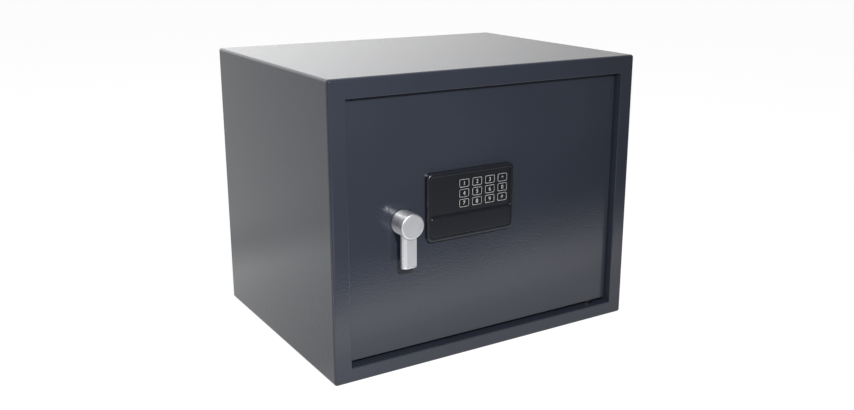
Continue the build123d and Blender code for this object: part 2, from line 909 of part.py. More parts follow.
with BuildPart() as housing_screws:
    with BuildSketch(facing(door_back)):
        with Locations((keypad_x, keypad_z)):
            with GridLocations(2 * housing_screw_x, 2 * housing_screw_rise, 2, 2):
                Circle(housing_screw_r)
    extrude(amount=door_thick + housing_screw_bite)
    with BuildSketch(facing(door_back)):
        with Locations((keypad_x, keypad_z)):
            with GridLocations(2 * housing_screw_x, 2 * housing_screw_rise, 2, 2):
                Circle(housing_screw_head_r)
    extrude(amount=-housing_screw_head_thick)
keep(housing_screws.part, "housing_screws")


def key(column, row):
    """One key cap: a lip behind the panel keeps it in, and a stem presses its switch."""
    x = key_middle_x + (column - (key_columns - 1) / 2) * key_pitch_x
    z = key_middle_z - (row - (key_rows - 1) / 2) * key_pitch_z
    lip_front = panel_rear + key_play
    lip_back = lip_front + key_lip_thick
    stem_end = door_face - board_thick - key_travel - key_play
    with BuildPart() as cap:
        with BuildSketch(facing(lip_front)):
            with Locations((x, z)):
                RectangleRounded(key_wide, key_high, key_corner)
        extrude(amount=lip_front - key_front)
        fillet(cap.faces().sort_by(Axis.Y)[0].edges(), key_proud)
        with BuildSketch(facing(lip_back)):
            with Locations((x, z)):
                RectangleRounded(key_wide + 2 * key_lip, key_high + 2 * key_lip, key_corner)
        extrude(amount=key_lip_thick)
        with BuildSketch(facing(stem_end)):
            with Locations((x, z)):
                Circle(key_stem_r)
        extrude(amount=stem_end - lip_back)
    return cap.part


key_names = (
    ("1", "2", "3", "star"),
    ("4", "5", "6", "0"),
    ("7", "8", "9", "hash"),
)
for row_number, row_names in enumerate(key_names):
    for column_number, key_name in enumerate(row_names):
        keep(key(column_number, row_number), f"key_{key_name}")

# Strip cover over the emergency lock, held by two legs in the bezel's slots
with BuildPart() as override_cover:
    with BuildSketch(facing(keypad_front + strip_thick)):
        with Locations((keypad_x, strip_z)):
            RectangleRounded(panel_width, strip_high - strip_low, strip_corner)
    extrude(amount=strip_thick)
    fillet(override_cover.faces().sort_by(Axis.Y)[0].edges(), strip_edge)
    with BuildSketch(facing(keypad_front + strip_thick)):
        with Locations((keypad_x, strip_z)):
            with GridLocations(2 * leg_from_middle, 0, 2, 1):
                Rectangle(leg_width, leg_thick)
    extrude(amount=-leg_length)
keep(override_cover.part, "override_cover")

# The keypad's cable runs through the door to the control board's left connector
with BuildPart() as keypad_cable:
    with BuildLine() as cable_route:
        FilletPolyline(
            (cable_x, door_face, cable_z),
            (cable_x, lead_y, cable_z),
            (circuit_left + slide_play, lead_y, cable_z),
            radius=cable_bend,
        )
    with BuildSketch(facing(door_face)):
        with Locations((cable_x, cable_z)):
            Circle(cable_r)
    sweep()
keep(keypad_cable.part, "keypad_cable")

# Emergency lock: body through the door, nut, turning plug and its cam
with BuildPart() as lock_body:
    with BuildSketch(facing(lock_end)):
        with Locations((lock_x, lock_z)):
            Circle(lock_r)
    extrude(amount=lock_end - door_face)
    with BuildSketch(facing(door_face)):
        with Locations((lock_x, lock_z)):
            Circle(lock_head_r)
    extrude(amount=lock_head_thick)
    with BuildSketch(facing(lock_end)):
        with Locations((lock_x, lock_z)):
            Circle(plug_r + running_fit)
    extrude(amount=lock_end - door_face + lock_head_thick, mode=Mode.SUBTRACT)
keep(lock_body.part, "lock_body")

with BuildPart() as lock_nut:
    with BuildSketch(facing(door_back)):
        with Locations((lock_x, lock_z)):
            RegularPolygon(lock_nut_flats / 2, 6, major_radius=False)
            Circle(lock_r + seat_fit, mode=Mode.SUBTRACT)
    extrude(amount=-lock_nut_thick)
keep(lock_nut.part, "lock_nut")

with BuildPart() as lock_plug:
    with BuildSketch(facing(lock_end + slide_play)):
        with Locations((lock_x, lock_z)):
            Circle(plug_r)
    extrude(amount=lock_end + slide_play - door_face + lock_head_thick)
    with BuildSketch(facing(door_face - lock_head_thick)):
        with Locations((lock_x, lock_z)):
            Rectangle(keyway_wide, keyway_high)
    extrude(amount=-keyway_deep, mode=Mode.SUBTRACT)
keep(lock_plug.part, "lock_plug")

with BuildPart() as lock_cam:
    with BuildSketch(facing(lock_end + slide_play)):
        with Locations((lock_x, lock_z - lock_cam_length / 2)):
            Rectangle(lock_cam_width, lock_cam_length)
        with Locations((lock_x, lock_z)):
            Circle(lock_cam_width / 2)
    extrude(amount=-lock_cam_thick)
keep(lock_cam.part, "lock_cam")

# Solenoid: a bent steel frame round a coil; its plunger rises to block the bar's tab
with BuildPart() as solenoid_frame:
    block(
        (solenoid_x - solenoid_width / 2, door_back, solenoid_low),
        (solenoid_x + solenoid_width / 2, solenoid_y + coil_r, solenoid_top),
    )
    block(
        (
            solenoid_x - solenoid_width / 2,
            door_back + solenoid_sheet,
            solenoid_low + solenoid_sheet,
        ),
        (
            solenoid_x + solenoid_width / 2,
            solenoid_y + coil_r,
            solenoid_top - solenoid_sheet,
        ),
        Mode.SUBTRACT,
    )
    with BuildSketch(Plane.XY.offset(solenoid_low)):
        with Locations((solenoid_x, solenoid_y)):
            Circle(plunger_r + slide_play)
    extrude(amount=solenoid_height, mode=Mode.SUBTRACT)
keep(solenoid_frame.part, "solenoid_frame")

with BuildPart() as solenoid_coil:
    with BuildSketch(Plane.XY.offset(solenoid_low + solenoid_sheet)):
        with Locations((solenoid_x, solenoid_y)):
            Circle(coil_r)
            Circle(plunger_r + plunger_fit, mode=Mode.SUBTRACT)
    extrude(amount=solenoid_height - 2 * solenoid_sheet)
keep(solenoid_coil.part, "solenoid_coil")

with BuildPart() as solenoid_plunger:
    with BuildSketch(Plane.XY.offset(solenoid_top - plunger_in)):
        with Locations((solenoid_x, solenoid_y)):
            Circle(plunger_r)
    extrude(amount=plunger_in + plunger_out)
    with BuildSketch(Plane.XY.offset(collar_low)):
        with Locations((solenoid_x, solenoid_y)):
            Circle(collar_r)
    extrude(amount=collar_thick)
keep(solenoid_plunger.part, "solenoid_plunger")

spring_r = collar_r - spring_wire / 2
spring_low = solenoid_top + spring_wire / 2 + running_fit
spring_rise = collar_low - solenoid_top - spring_wire - 2 * running_fit
spring_pitch = spring_rise / spring_turns
with BuildPart() as plunger_spring:
    with BuildLine() as spring_line:
        Helix(spring_pitch, spring_rise, spring_r, center=(solenoid_x, solenoid_y, spring_low))
    with BuildSketch(Plane(origin=spring_line.line @ 0, z_dir=spring_line.line % 0)):
        Circle(spring_wire / 2)
    sweep(is_frenet=True)
print("spring: least gap between turns", round(spring_pitch - spring_wire, 2), "mm")
keep(plunger_spring.part, "plunger_spring")

# Control board on four standoffs, with its parts and three connectors
solenoid_lead_z = circuit_low + connector_wide + connector_from_corner
with BuildPart() as control_board:
    block((circuit_left, circuit_front, circuit_low), (circuit_right, circuit_back, circuit_high))
    with BuildSketch(facing(circuit_front)):
        with Locations((circuit_x, (circuit_low + circuit_high) / 2)):
            with GridLocations(
                circuit_width - 2 * standoff_inset, circuit_height - 2 * standoff_inset, 2, 2
            ):
                Circle(standoff_r)
    extrude(amount=standoff)
    for connector_z in (cable_z, solenoid_lead_z):
        block(
            (circuit_left + slide_play, circuit_back, connector_z - connector_wide / 2),
            (
                circuit_left + slide_play + connector_long,
                circuit_back + connector_tall,
                connector_z + connector_wide / 2,
            ),
        )
    block(
        (circuit_x - connector_wide / 2, circuit_back, circuit_low + slide_play),
        (
            circuit_x + connector_wide / 2,
            circuit_back + connector_tall,
            circuit_low + slide_play + connector_long,
        ),
    )
    chip_top = circuit_high - chip_drop
    block(
        (circuit_x - chip_wide / 2, circuit_back, chip_top - chip_high),
        (circuit_x + chip_wide / 2, circuit_back + circuit_thick, chip_top),
    )
    block(
        (button_x - switch_wide / 2, circuit_back, button_z - switch_wide / 2),
        (button_x + switch_wide / 2, circuit_back + switch_tall, button_z + switch_wide / 2),
    )
keep(control_board.part, "control_board")

# Lead from the coil to the control board
lead_start = solenoid_x + coil_r + lead_gap
lead_end = circuit_left + slide_play
lead_low = solenoid_low + solenoid_height / 2 - lead_below_middle
lead_span = lead_end - lead_start
lead_first = lead_start + lead_span * lead_flat_share
lead_second = lead_first + lead_span * lead_slope_share
with BuildPart() as solenoid_lead:
    with BuildLine() as lead_route:
        FilletPolyline(
            (lead_start, solenoid_y, lead_low),
            (lead_first, solenoid_y, lead_low),
            (lead_second, solenoid_y, solenoid_lead_z),
            (lead_end, solenoid_y, solenoid_lead_z),
            radius=lead_bend,
        )
    with BuildSketch(sideways(lead_start)):
        with Locations((solenoid_y, lead_low)):
            Circle(lead_r)
    sweep()
keep(solenoid_lead.part, "solenoid_lead")

# Cell holder let into the inner cover from behind, with its lid and four cells
with BuildPart() as battery_case:
    block(
        (case_x - case_width / 2, case_front, case_z - case_height / 2),
        (case_x + case_width / 2, liner_back, case_z + case_height / 2),
    )
    block(
        (
            case_x - case_width / 2 - case_lip,
            liner_back,
            case_z - case_height / 2 - case_lip,
        ),
        (
            case_x + case_width / 2 + case_lip,
            liner_back + case_lip_thick,
            case_z + case_height / 2 + case_lip,
        ),
    )
    block(
        (
            case_x - case_inner_width / 2,
            case_front + case_wall,
            case_z - case_inner_height / 2,
        ),
        (
            case_x + case_inner_width / 2,
            liner_back + case_lip_thick,
            case_z + case_inner_height / 2,
        ),
        Mode.SUBTRACT,
    )
keep(battery_case.part, "battery_case")

with BuildPart() as battery_cells:
    with BuildSketch(Plane.XY.offset(case_z - cell_length / 2)):
        with Locations((case_x, case_front + case_wall + slide_play + cell_r)):
            with GridLocations(cell_pitch, 0, cell_count, 1):
                Circle(cell_r)
    extrude(amount=cell_length)
keep(battery_cells.part, "battery_cells")

with BuildPart() as battery_cover:
    with BuildSketch(facing(liner_back + case_lip_thick)):
        with Locations((case_x, case_z)):
            Rectangle(case_inner_width - 2 * cover_play, case_inner_height - 2 * cover_play)
    extrude(amount=cover_thick)
    with BuildSketch(facing(liner_back + case_lip_thick)):
        with Locations((case_x, case_z)):
            with GridLocations(0, 2 * grip_high, 1, grip_count):
                Rectangle(grip_width, grip_high)
    extrude(amount=grip_deep, mode=Mode.SUBTRACT)
keep(battery_cover.part, "battery_cover")

with BuildPart() as battery_lead:
    lead_case_y = case_front + cell_r
    lead_top = circuit_low + slide_play
    lead_rise = lead_top - case_high
    with BuildLine() as battery_route:
        FilletPolyline(
            (case_x, lead_case_y, case_high),
            (case_x, lead_case_y, case_high + lead_rise * short_lead_end_share),
            (case_x, lead_y, lead_top - lead_rise * short_lead_end_share),
            (case_x, lead_y, lead_top),
            radius=short_lead_bend,
        )
    with BuildSketch(Plane.XY.offset(case_high)):
        with Locations((case_x, lead_case_y)):
            Circle(lead_r)
    sweep()
keep(battery_lead.part, "battery_lead")

# Code reset button, reached from inside the safe
with BuildPart() as reset_button:
    lip_face = liner_back - liner_sheet - button_play
    stem_tip = circuit_back + switch_tall + button_travel + button_play
    with BuildSketch(facing(liner_back + button_proud)):
        with Locations((button_x, button_z)):
            Circle(button_r)
    extrude(amount=liner_back + button_proud - lip_face)
    with BuildSketch(facing(lip_face)):
        with Locations((button_x, button_z)):
            Circle(button_lip_r)
    extrude(amount=button_lip_thick)
    with BuildSketch(facing(lip_face - button_lip_thick)):
        with Locations((button_x, button_z)):
            Circle(button_r / 2)
    extrude(amount=lip_face - button_lip_thick - stem_tip)
    fillet(reset_button.faces().sort_by(Axis.Y)[-1].edges(), button_edge)
keep(reset_button.part, "reset_button")
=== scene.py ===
# %% [markdown]
# # An electronic safe, dressed in Blender
# The imported model already holds every piece at its real size. This lesson adds what the
# eye sees: paint, plastic, metal, print and felt, the light of the studio and the camera.
# Nothing here moves or resizes an imported piece.

# %% Load the imported model
import math
import bmesh
import bpy
from mathutils import Matrix, Vector, noise


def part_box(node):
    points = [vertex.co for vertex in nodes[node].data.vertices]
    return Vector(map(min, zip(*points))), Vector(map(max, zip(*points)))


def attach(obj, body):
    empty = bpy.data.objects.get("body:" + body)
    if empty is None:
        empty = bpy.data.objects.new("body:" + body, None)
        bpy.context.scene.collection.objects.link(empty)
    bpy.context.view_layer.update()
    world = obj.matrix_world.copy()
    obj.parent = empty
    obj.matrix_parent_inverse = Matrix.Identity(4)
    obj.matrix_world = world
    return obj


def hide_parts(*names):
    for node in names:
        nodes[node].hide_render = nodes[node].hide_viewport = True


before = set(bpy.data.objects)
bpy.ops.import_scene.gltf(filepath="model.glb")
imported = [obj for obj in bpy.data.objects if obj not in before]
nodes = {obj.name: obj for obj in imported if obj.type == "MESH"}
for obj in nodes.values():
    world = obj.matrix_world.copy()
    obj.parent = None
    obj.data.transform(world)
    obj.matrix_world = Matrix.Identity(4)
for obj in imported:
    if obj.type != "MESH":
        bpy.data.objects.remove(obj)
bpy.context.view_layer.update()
mm = 0.001

# %% [markdown]
# ## The camera
# The photograph was taken from the left and a little above, a bit over a metre away.
# The camera could be placed by eye, but the box's photographed corners say more exactly
# where it stood, so they were used. A small shift moves the picture in its frame, as
# cropping the photograph did.

# %% Camera
camera_place = Vector((-0.5575, -0.9321, 0.4383))
camera_azimuth = math.radians(-32.677)
camera_elevation = math.radians(15.571)
camera_roll = math.radians(0.336)
lens_mm = 39.76
sensor_mm = 36
picture_width = 854
optical_centre_right = 25
optical_centre_up = 7

camera_data = bpy.data.cameras.new("studio_camera")
camera_data.sensor_width = sensor_mm
camera_data.lens = lens_mm
camera_data.shift_x = -optical_centre_right / picture_width
camera_data.shift_y = -optical_centre_up / picture_width
camera_data.clip_start = 0.05
camera_data.clip_end = 60
camera = bpy.data.objects.new("studio_camera", camera_data)
bpy.context.scene.collection.objects.link(camera)
bpy.context.scene.camera = camera

back = Vector((
    math.sin(camera_azimuth) * math.cos(camera_elevation),
    -math.cos(camera_azimuth) * math.cos(camera_elevation),
    math.sin(camera_elevation),
))
level = Vector((math.cos(camera_azimuth), math.sin(camera_azimuth), 0))
upright = back.cross(level)
right = level * math.cos(camera_roll) + upright * math.sin(camera_roll)
up = upright * math.cos(camera_roll) - level * math.sin(camera_roll)
turn = Matrix((right, up, back)).transposed().to_4x4()
camera.matrix_world = Matrix.Translation(camera_place) @ turn
bpy.context.scene.view_settings.view_transform = "Standard"
print("camera stands", round(camera_place.length, 2), "m from the middle of the base")

# %% [markdown]
# ## Colours and nodes
# A colour is written as it looks on a screen, in sRGB hex, and one function turns it
# into the linear light that shaders work with. One more function adds a shader node:
# it takes the node's settings by name and its inputs as numbers, colours or links.
# Materials could be built by hand in the editor, but written this way they can be read
# from top to bottom, in the order in which light meets them.

# %% Colour and node helpers
def linear(hex_colour):
    """sRGB hex, such as '3a404d', to a linear colour with alpha 1."""
    channels = [int(hex_colour[i:i + 2], 16) / 255 for i in (0, 2, 4)]
    return [c / 12.92 if c <= 0.04045 else ((c + 0.055) / 1.055) ** 2.4 for c in channels] + [1]


def add_node(tree, kind, inputs=None, **settings):
    """Adds a node. An input is a value, or the socket of another node to link."""
    node = tree.nodes.new(kind)
    for name, value in settings.items():
        setattr(node, name, value)
    for name, value in (inputs or {}).items():
        if isinstance(value, bpy.types.NodeSocket):
            tree.links.new(value, node.inputs[name])
        else:
            node.inputs[name].default_value = value
    return node


def new_material(name):
    """A material with an empty tree and its output node."""
    material = bpy.data.materials.new(name)
    material.use_nodes = True
    material.node_tree.nodes.clear()
    return material, add_node(material.node_tree, "ShaderNodeOutputMaterial")


def finish_material(tree, output, shader):
    """Links the shader to the material's output."""
    tree.links.new(shader.outputs[0], output.inputs["Surface"])


def paint_nodes(material, *names):
    """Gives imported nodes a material."""
    for name in names:
        mesh = nodes[name].data
        mesh.materials.clear()
        mesh.materials.append(material)


# %% [markdown]
# ## Powder coat
# The body and door are mild steel with a polyester powder coat in dark blue-grey, on
# the glossy side of semi-gloss. Powder melts and flows in the oven but never quite
# levels, which leaves orange peel: soft waves about 2 mm across, with a finer grain on
# top. Two layers of noise draw it, because they need no image and hold at any distance.
# The waves break up each reflection into a soft, slightly sparkling glow, so the coat
# between them can be smooth: polyester has an IOR near 1.5, and a roughness of 0.14
# suits it here. Real waves are a few microns high. These are drawn much higher, so that
# they show at the picture's scale.

# %% Powder coat material
# Nearly all of a noise texture lies between these two values.
noise_low = 0.3
noise_high = 0.7
drift_scale = 9.0
drift_swing = 0.06
sheen_swing = 0.03


def powder_coat(name, colour, roughness, wave_mm, wave_height_mm, grain_mm, grain_height_mm):
    """Oven-cured paint: a base colour, soft waves and a finer grain, in millimetres.

    The shade drifts a little over some 110 mm, and the sheen varies with the grain.
    """
    material, output = new_material(name)
    tree = material.node_tree
    place = add_node(tree, "ShaderNodeTexCoord")
    waves = add_node(tree, "ShaderNodeTexNoise", {
        "Vector": place.outputs["Object"], "Scale": 1 / (wave_mm * mm), "Detail": 2.0,
        "Roughness": 0.5,
    })
    grain = add_node(tree, "ShaderNodeTexNoise", {
        "Vector": place.outputs["Object"], "Scale": 1 / (grain_mm * mm), "Detail": 2.0,
        "Roughness": 0.6,
    })
    drift = add_node(tree, "ShaderNodeTexNoise", {
        "Vector": place.outputs["Object"], "Scale": drift_scale, "Detail": 3.0,
        "Roughness": 0.5,
    })
    shade = add_node(tree, "ShaderNodeMapRange", {
        "Value": drift.outputs["Fac"], "From Min": noise_low, "From Max": noise_high,
        "To Min": 1 - drift_swing, "To Max": 1 + drift_swing,
    })
    tint = add_node(tree, "ShaderNodeVectorMath", {
        0: linear(colour)[:3], "Scale": shade.outputs["Result"],
    }, operation="SCALE")
    sheen = add_node(tree, "ShaderNodeMapRange", {
        "Value": grain.outputs["Fac"], "From Min": noise_low, "From Max": noise_high,
        "To Min": roughness - sheen_swing, "To Max": roughness + sheen_swing,
    })
    wave_bump = add_node(tree, "ShaderNodeBump", {
        "Height": waves.outputs["Fac"], "Distance": wave_height_mm * mm, "Strength": 1.0,
    })
    grain_bump = add_node(tree, "ShaderNodeBump", {
        "Height": grain.outputs["Fac"], "Distance": grain_height_mm * mm, "Strength": 1.0,
        "Normal": wave_bump.outputs["Normal"],
    })
    shader = add_node(tree, "ShaderNodeBsdfPrincipled", {
        "Base Color": tint.outputs["Vector"], "Roughness": sheen.outputs["Result"],
        "Normal": grain_bump.outputs["Normal"], "IOR": 1.5,
    })
    finish_material(tree, output, shader)
    return material


# Dark and cool, with soft reflections that shimmer at their edges.
cabinet_paint = powder_coat(
    "blue_grey_powder_coat", "353944", roughness=0.14, wave_mm=1.9, wave_height_mm=0.18,
    grain_mm=0.9, grain_height_mm=0.05)
# The inner cover is out of sight, so its coat is thinner, plainer and duller.
liner_paint = powder_coat(
    "satin_liner_paint", "2e3237", roughness=0.38, wave_mm=2.0, wave_height_mm=0.03,
    grain_mm=0.7, grain_height_mm=0.02)
paint_nodes(
    cabinet_paint, "body_shell", "back_panel", "strike_plate", "door_stop_strip",
    "door_plate", "hinge_block_upper", "hinge_block_lower",
)
paint_nodes(liner_paint, "door_liner")
print("paints:", cabinet_paint.name, liner_paint.name)

# %% [markdown]
# ## Moulded plastics
# The bezel, the strip cover and the cell holder are injection-moulded ABS. The mould
# was spark-eroded, so the skin is a very fine matt grain with a low sheen. ABS has an
# IOR of 1.54. The panel is a printed polycarbonate film, IOR 1.58, with a velvet grain.
# One recipe serves them all: noise both shades the colour and lifts the surface, and
# the grain is drawn as coarse as 0.3 to 0.8 mm, because real grit would be too fine to
# show.

# %% Plastic materials
def moulded_plastic(name, colour, roughness, ior, grain_mm, grain_height_mm):
    """A moulded or filmed plastic with a spark-eroded grain."""
    grain_low = 0.25
    grain_high = 0.75
    shade_swing = 0.15
    material, output = new_material(name)
    tree = material.node_tree
    place = add_node(tree, "ShaderNodeTexCoord")
    grain = add_node(tree, "ShaderNodeTexNoise", {
        "Vector": place.outputs["Object"], "Scale": 1 / (grain_mm * mm), "Detail": 3.0,
        "Roughness": 0.6,
    })
    shade = add_node(tree, "ShaderNodeMapRange", {
        "Value": grain.outputs["Fac"], "From Min": grain_low, "From Max": grain_high,
        "To Min": 1 - shade_swing, "To Max": 1 + shade_swing,
    })
    tint = add_node(tree, "ShaderNodeVectorMath", {
        0: linear(colour)[:3], "Scale": shade.outputs["Result"],
    }, operation="SCALE")
    bump = add_node(tree, "ShaderNodeBump", {
        "Height": grain.outputs["Fac"], "Distance": grain_height_mm * mm, "Strength": 1.0,
    })
    shader = add_node(tree, "ShaderNodeBsdfPrincipled", {
        "Base Color": tint.outputs["Vector"], "Roughness": roughness, "IOR": ior,
        "Normal": bump.outputs["Normal"],
    })
    finish_material(tree, output, shader)
    return material


# Near black with a cool cast: only rounded edges catch the light.
black_abs = moulded_plastic(
    "black_abs", "191c23", roughness=0.3, ior=1.54, grain_mm=0.6, grain_height_mm=0.012)
# The film is flatter and a little darker than the bezel round it.
panel_film = moulded_plastic(
    "black_polycarbonate_film", "14171d", roughness=0.36, ior=1.58, grain_mm=0.4, grain_height_mm=0.008)
# The keys are the darkest part, so that their print stands out.
key_plastic = moulded_plastic(
    "black_key_plastic", "0e0f11", roughness=0.36, ior=1.54, grain_mm=0.4, grain_height_mm=0.008)
# Shrunk vinyl sleeves: smooth, with a narrow highlight along each cell.
cell_wrap = moulded_plastic(
    "grey_cell_sleeve", "3c3f45", roughness=0.3, ior=1.54, grain_mm=0.8, grain_height_mm=0.01)
# Soft vinyl on the cables: dull, with hardly any highlight.
cable_vinyl = moulded_plastic(
    "grey_cable_vinyl", "2c2d30", roughness=0.45, ior=1.53, grain_mm=0.5, grain_height_mm=0.01)
# A polished mould gives the reset button a brighter skin than the rest.
button_abs = moulded_plastic(
    "red_abs", "9c1512", roughness=0.25, ior=1.54, grain_mm=0.5, grain_height_mm=0.006)
# Screen ink dries matt and slightly grey.
white_ink = moulded_plastic(
    "white_screen_ink", "c8cacd", roughness=0.5, ior=1.5, grain_mm=0.3, grain_height_mm=0.003)
paint_nodes(
    black_abs, "keypad_housing", "override_cover", "battery_case", "battery_cover",
    "handle_washer",
)
paint_nodes(panel_film, "keypad_panel")
paint_nodes(cell_wrap, "battery_cells")
paint_nodes(cable_vinyl, "keypad_cable", "solenoid_lead", "battery_lead")
paint_nodes(button_abs, "reset_button")
print("plastics made, with the bezel in", black_abs.name)

# %% [markdown]
# ## Metals
# The handle is zinc alloy under a silver lacquer full of tiny flakes, so it is pale and even,
# part mirror and part paint: its metallic value stays below 1 where the lacquer is thick.
# The hub was turned before it was lacquered. Its side still spreads a highlight across the
# tool lines, its rim has a paler, fully metallic finish that paints its highlight ring
# brighter, and its cap is lightly mottled. The bolts are turned bright steel. The hinge's
# pins and washer are oiled phosphate steel, nearly black, and the guides and screws have
# clear zinc plate with a faint blue cast and a cloudy spangle. One recipe with stretched
# noise makes them all. Real tool lines are finer than the 0.25 to 0.6 mm drawn here.

# %% Metal materials
def worked_metal(name, colour, roughness, spread, line_mm, line_height_mm,
                 stretch=(1, 1, 1), metallic=1.0, turned=0):
    """Metal with tool lines: the noise is stretched by three factors along x, y and z.

    A turned surface gets its anisotropy from lines that run round the y axis. The
    roughness drifts by the spread, in clouds about 6 mm across.
    """
    cloud_mm = 6
    quarter_turn = 0.25
    material, output = new_material(name)
    tree = material.node_tree
    place = add_node(tree, "ShaderNodeTexCoord")
    mapping = add_node(tree, "ShaderNodeMapping", {
        "Vector": place.outputs["Object"], "Scale": [1 / s for s in stretch],
    })
    lines = add_node(tree, "ShaderNodeTexNoise", {
        "Vector": mapping.outputs["Vector"], "Scale": 1 / (line_mm * mm), "Detail": 2.0,
        "Roughness": 0.55,
    })
    clouds = add_node(tree, "ShaderNodeTexNoise", {
        "Vector": place.outputs["Object"], "Scale": 1 / (cloud_mm * mm), "Detail": 3.0,
        "Roughness": 0.6,
    })
    dull = add_node(tree, "ShaderNodeMapRange", {
        "Value": clouds.outputs["Fac"], "From Min": noise_low, "From Max": noise_high,
        "To Min": roughness - spread, "To Max": roughness + spread,
    })
    bump = add_node(tree, "ShaderNodeBump", {
        "Height": lines.outputs["Fac"], "Distance": line_height_mm * mm, "Strength": 1.0,
    })
    shader = add_node(tree, "ShaderNodeBsdfPrincipled", {
        "Base Color": linear(colour), "Metallic": metallic,
        "Roughness": dull.outputs["Result"], "Normal": bump.outputs["Normal"],
    })
    if turned:
        round_y = add_node(tree, "ShaderNodeTangent", direction_type="RADIAL", axis="Y")
        tree.links.new(round_y.outputs["Tangent"], shader.inputs["Tangent"])
        shader.inputs["Anisotropic"].default_value = turned
        shader.inputs["Anisotropic Rotation"].default_value = quarter_turn
    finish_material(tree, output, shader)
    return material


def finish_by_slope(material, name, least, most):
    """Gives another material to the faces whose slope to the y axis lies in a range."""
    mesh = nodes[name].data
    mesh.materials.append(material)
    for face in mesh.polygons:
        if least <= abs(face.normal.y) < most:
            face.material_index = len(mesh.materials) - 1


# %% Handle finishes
# Pale and soft: a bevel that faces the flash is clearly brighter than the flat.
satin_silver = worked_metal(
    "satin_silver_lacquer", "e3e4e8", roughness=0.47, spread=0.03, line_mm=0.35,
    line_height_mm=0.004, metallic=0.9)
# The cap is less of a mirror than the lever, with a faint mottle.
cap_silver = worked_metal(
    "satin_silver_cap", "dcdee2", roughness=0.48, spread=0.06, line_mm=1.2,
    line_height_mm=0.03, metallic=0.75)
# Tool lines gather the flash into one soft band along the hub's side.
turned_silver = worked_metal(
    "turned_silver_lacquer", "f8f9fb", roughness=0.4, spread=0.02, line_mm=0.35,
    line_height_mm=0.004, stretch=(6, 0.6, 6), turned=0.88)
# Painted highlight: a paler, fully metallic finish on the rim makes the thin ring of light round the cap
# brighter.
rim_highlight_silver = worked_metal(
    "silver_rim_painted_highlight", "f4f5f7", roughness=0.4, spread=0.03, line_mm=0.35,
    line_height_mm=0.003)
side_slope = 0.2
cap_slope = 0.98
paint_nodes(satin_silver, "handle_lever")
paint_nodes(cap_silver, "handle_hub")
finish_by_slope(turned_silver, "handle_hub", 0, side_slope)
finish_by_slope(rim_highlight_silver, "handle_hub", side_slope, cap_slope)
print("finishes on the hub:", len(nodes["handle_hub"].data.materials))

# %% Steel and plated finishes
# Oil and phosphate leave dark grey steel with a dull sheen.
phosphate = worked_metal(
    "oiled_phosphate_steel", "3c3d40", roughness=0.42, spread=0.08, line_mm=0.3,
    line_height_mm=0.003)
# Turned bars shine, with fine rings round them that stretch the highlight.
bright_steel = worked_metal(
    "turned_bright_steel", "c4c4c6", roughness=0.24, spread=0.05, line_mm=0.25,
    line_height_mm=0.004, stretch=(1, 8, 8))
# Zinc plate is cool and cloudy, brighter in some patches than in others.
zinc_plate = worked_metal(
    "clear_zinc_plate", "b9bdc4", roughness=0.32, spread=0.1, line_mm=0.6,
    line_height_mm=0.004)
# Screws are plated in a barrel, which rubs them a little brighter.
screw_steel = worked_metal(
    "zinc_plated_screw", "b4b7bd", roughness=0.28, spread=0.08, line_mm=0.4,
    line_height_mm=0.003)
# Satin nickel on the lock is warmer than the zinc round it.
satin_nickel = worked_metal(
    "satin_nickel", "b7b3ab", roughness=0.3, spread=0.05, line_mm=0.3,
    line_height_mm=0.003)
paint_nodes(bright_steel, "locking_bolts")
paint_nodes(phosphate, "hinge_pin_upper", "hinge_pin_lower", "hinge_washer")
paint_nodes(
    zinc_plate, "hinge_bracket_upper", "hinge_bracket_lower", "bolt_bar",
    "bolt_guide_upper", "bolt_guide_lower", "guide_posts", "handle_spindle", "handle_cam",
    "spindle_bush", "solenoid_frame", "solenoid_plunger", "plunger_spring",
    "lock_cam", "lock_nut",
)
paint_nodes(screw_steel, "liner_screws", "housing_screws", "cam_screw")
paint_nodes(satin_nickel, "lock_body", "lock_plug")
print("materials so far:", len(bpy.data.materials))

# %% [markdown]
# ## Circuit boards and coil
# They hide behind the inner cover and show when it is taken off. The boards are glass
# epoxy under green solder resist, and a cell pattern with sharp edges draws their
# tracks. The coil is enamelled copper wire. A wave pattern draws its turns as ridges
# about 2.5 mm apart, coarser than real wire, so that they show.

# %% Board and coil materials
def circuit_resist():
    """Green solder resist over copper tracks: paler lines round cells 5 mm wide."""
    cell_mm = 5
    track_edge = 0.04
    track_gone = 0.08
    track_height_mm = 0.03
    material, output = new_material("green_solder_resist")
    tree = material.node_tree
    place = add_node(tree, "ShaderNodeTexCoord")
    tracks = add_node(tree, "ShaderNodeTexVoronoi", {
        "Vector": place.outputs["Object"], "Scale": 1 / (cell_mm * mm), "Randomness": 0.6,
    }, distance="CHEBYCHEV", feature="DISTANCE_TO_EDGE")
    edge = add_node(tree, "ShaderNodeMapRange", {
        "Value": tracks.outputs["Distance"], "From Min": track_edge, "From Max": track_gone,
        "To Min": 1.0, "To Max": 0.0,
    })
    tint = add_node(tree, "ShaderNodeMix", {
        0: edge.outputs["Result"], "A": linear("0d4a2a"), "B": linear("1e6b3c"),
    }, data_type="RGBA")
    bump = add_node(tree, "ShaderNodeBump", {
        "Height": edge.outputs["Result"], "Distance": track_height_mm * mm,
        "Strength": 1.0,
    })
    shader = add_node(tree, "ShaderNodeBsdfPrincipled", {
        "Base Color": tint.outputs["Result"], "Roughness": 0.3, "IOR": 1.5,
        "Normal": bump.outputs["Normal"],
    })
    finish_material(tree, output, shader)
    return material


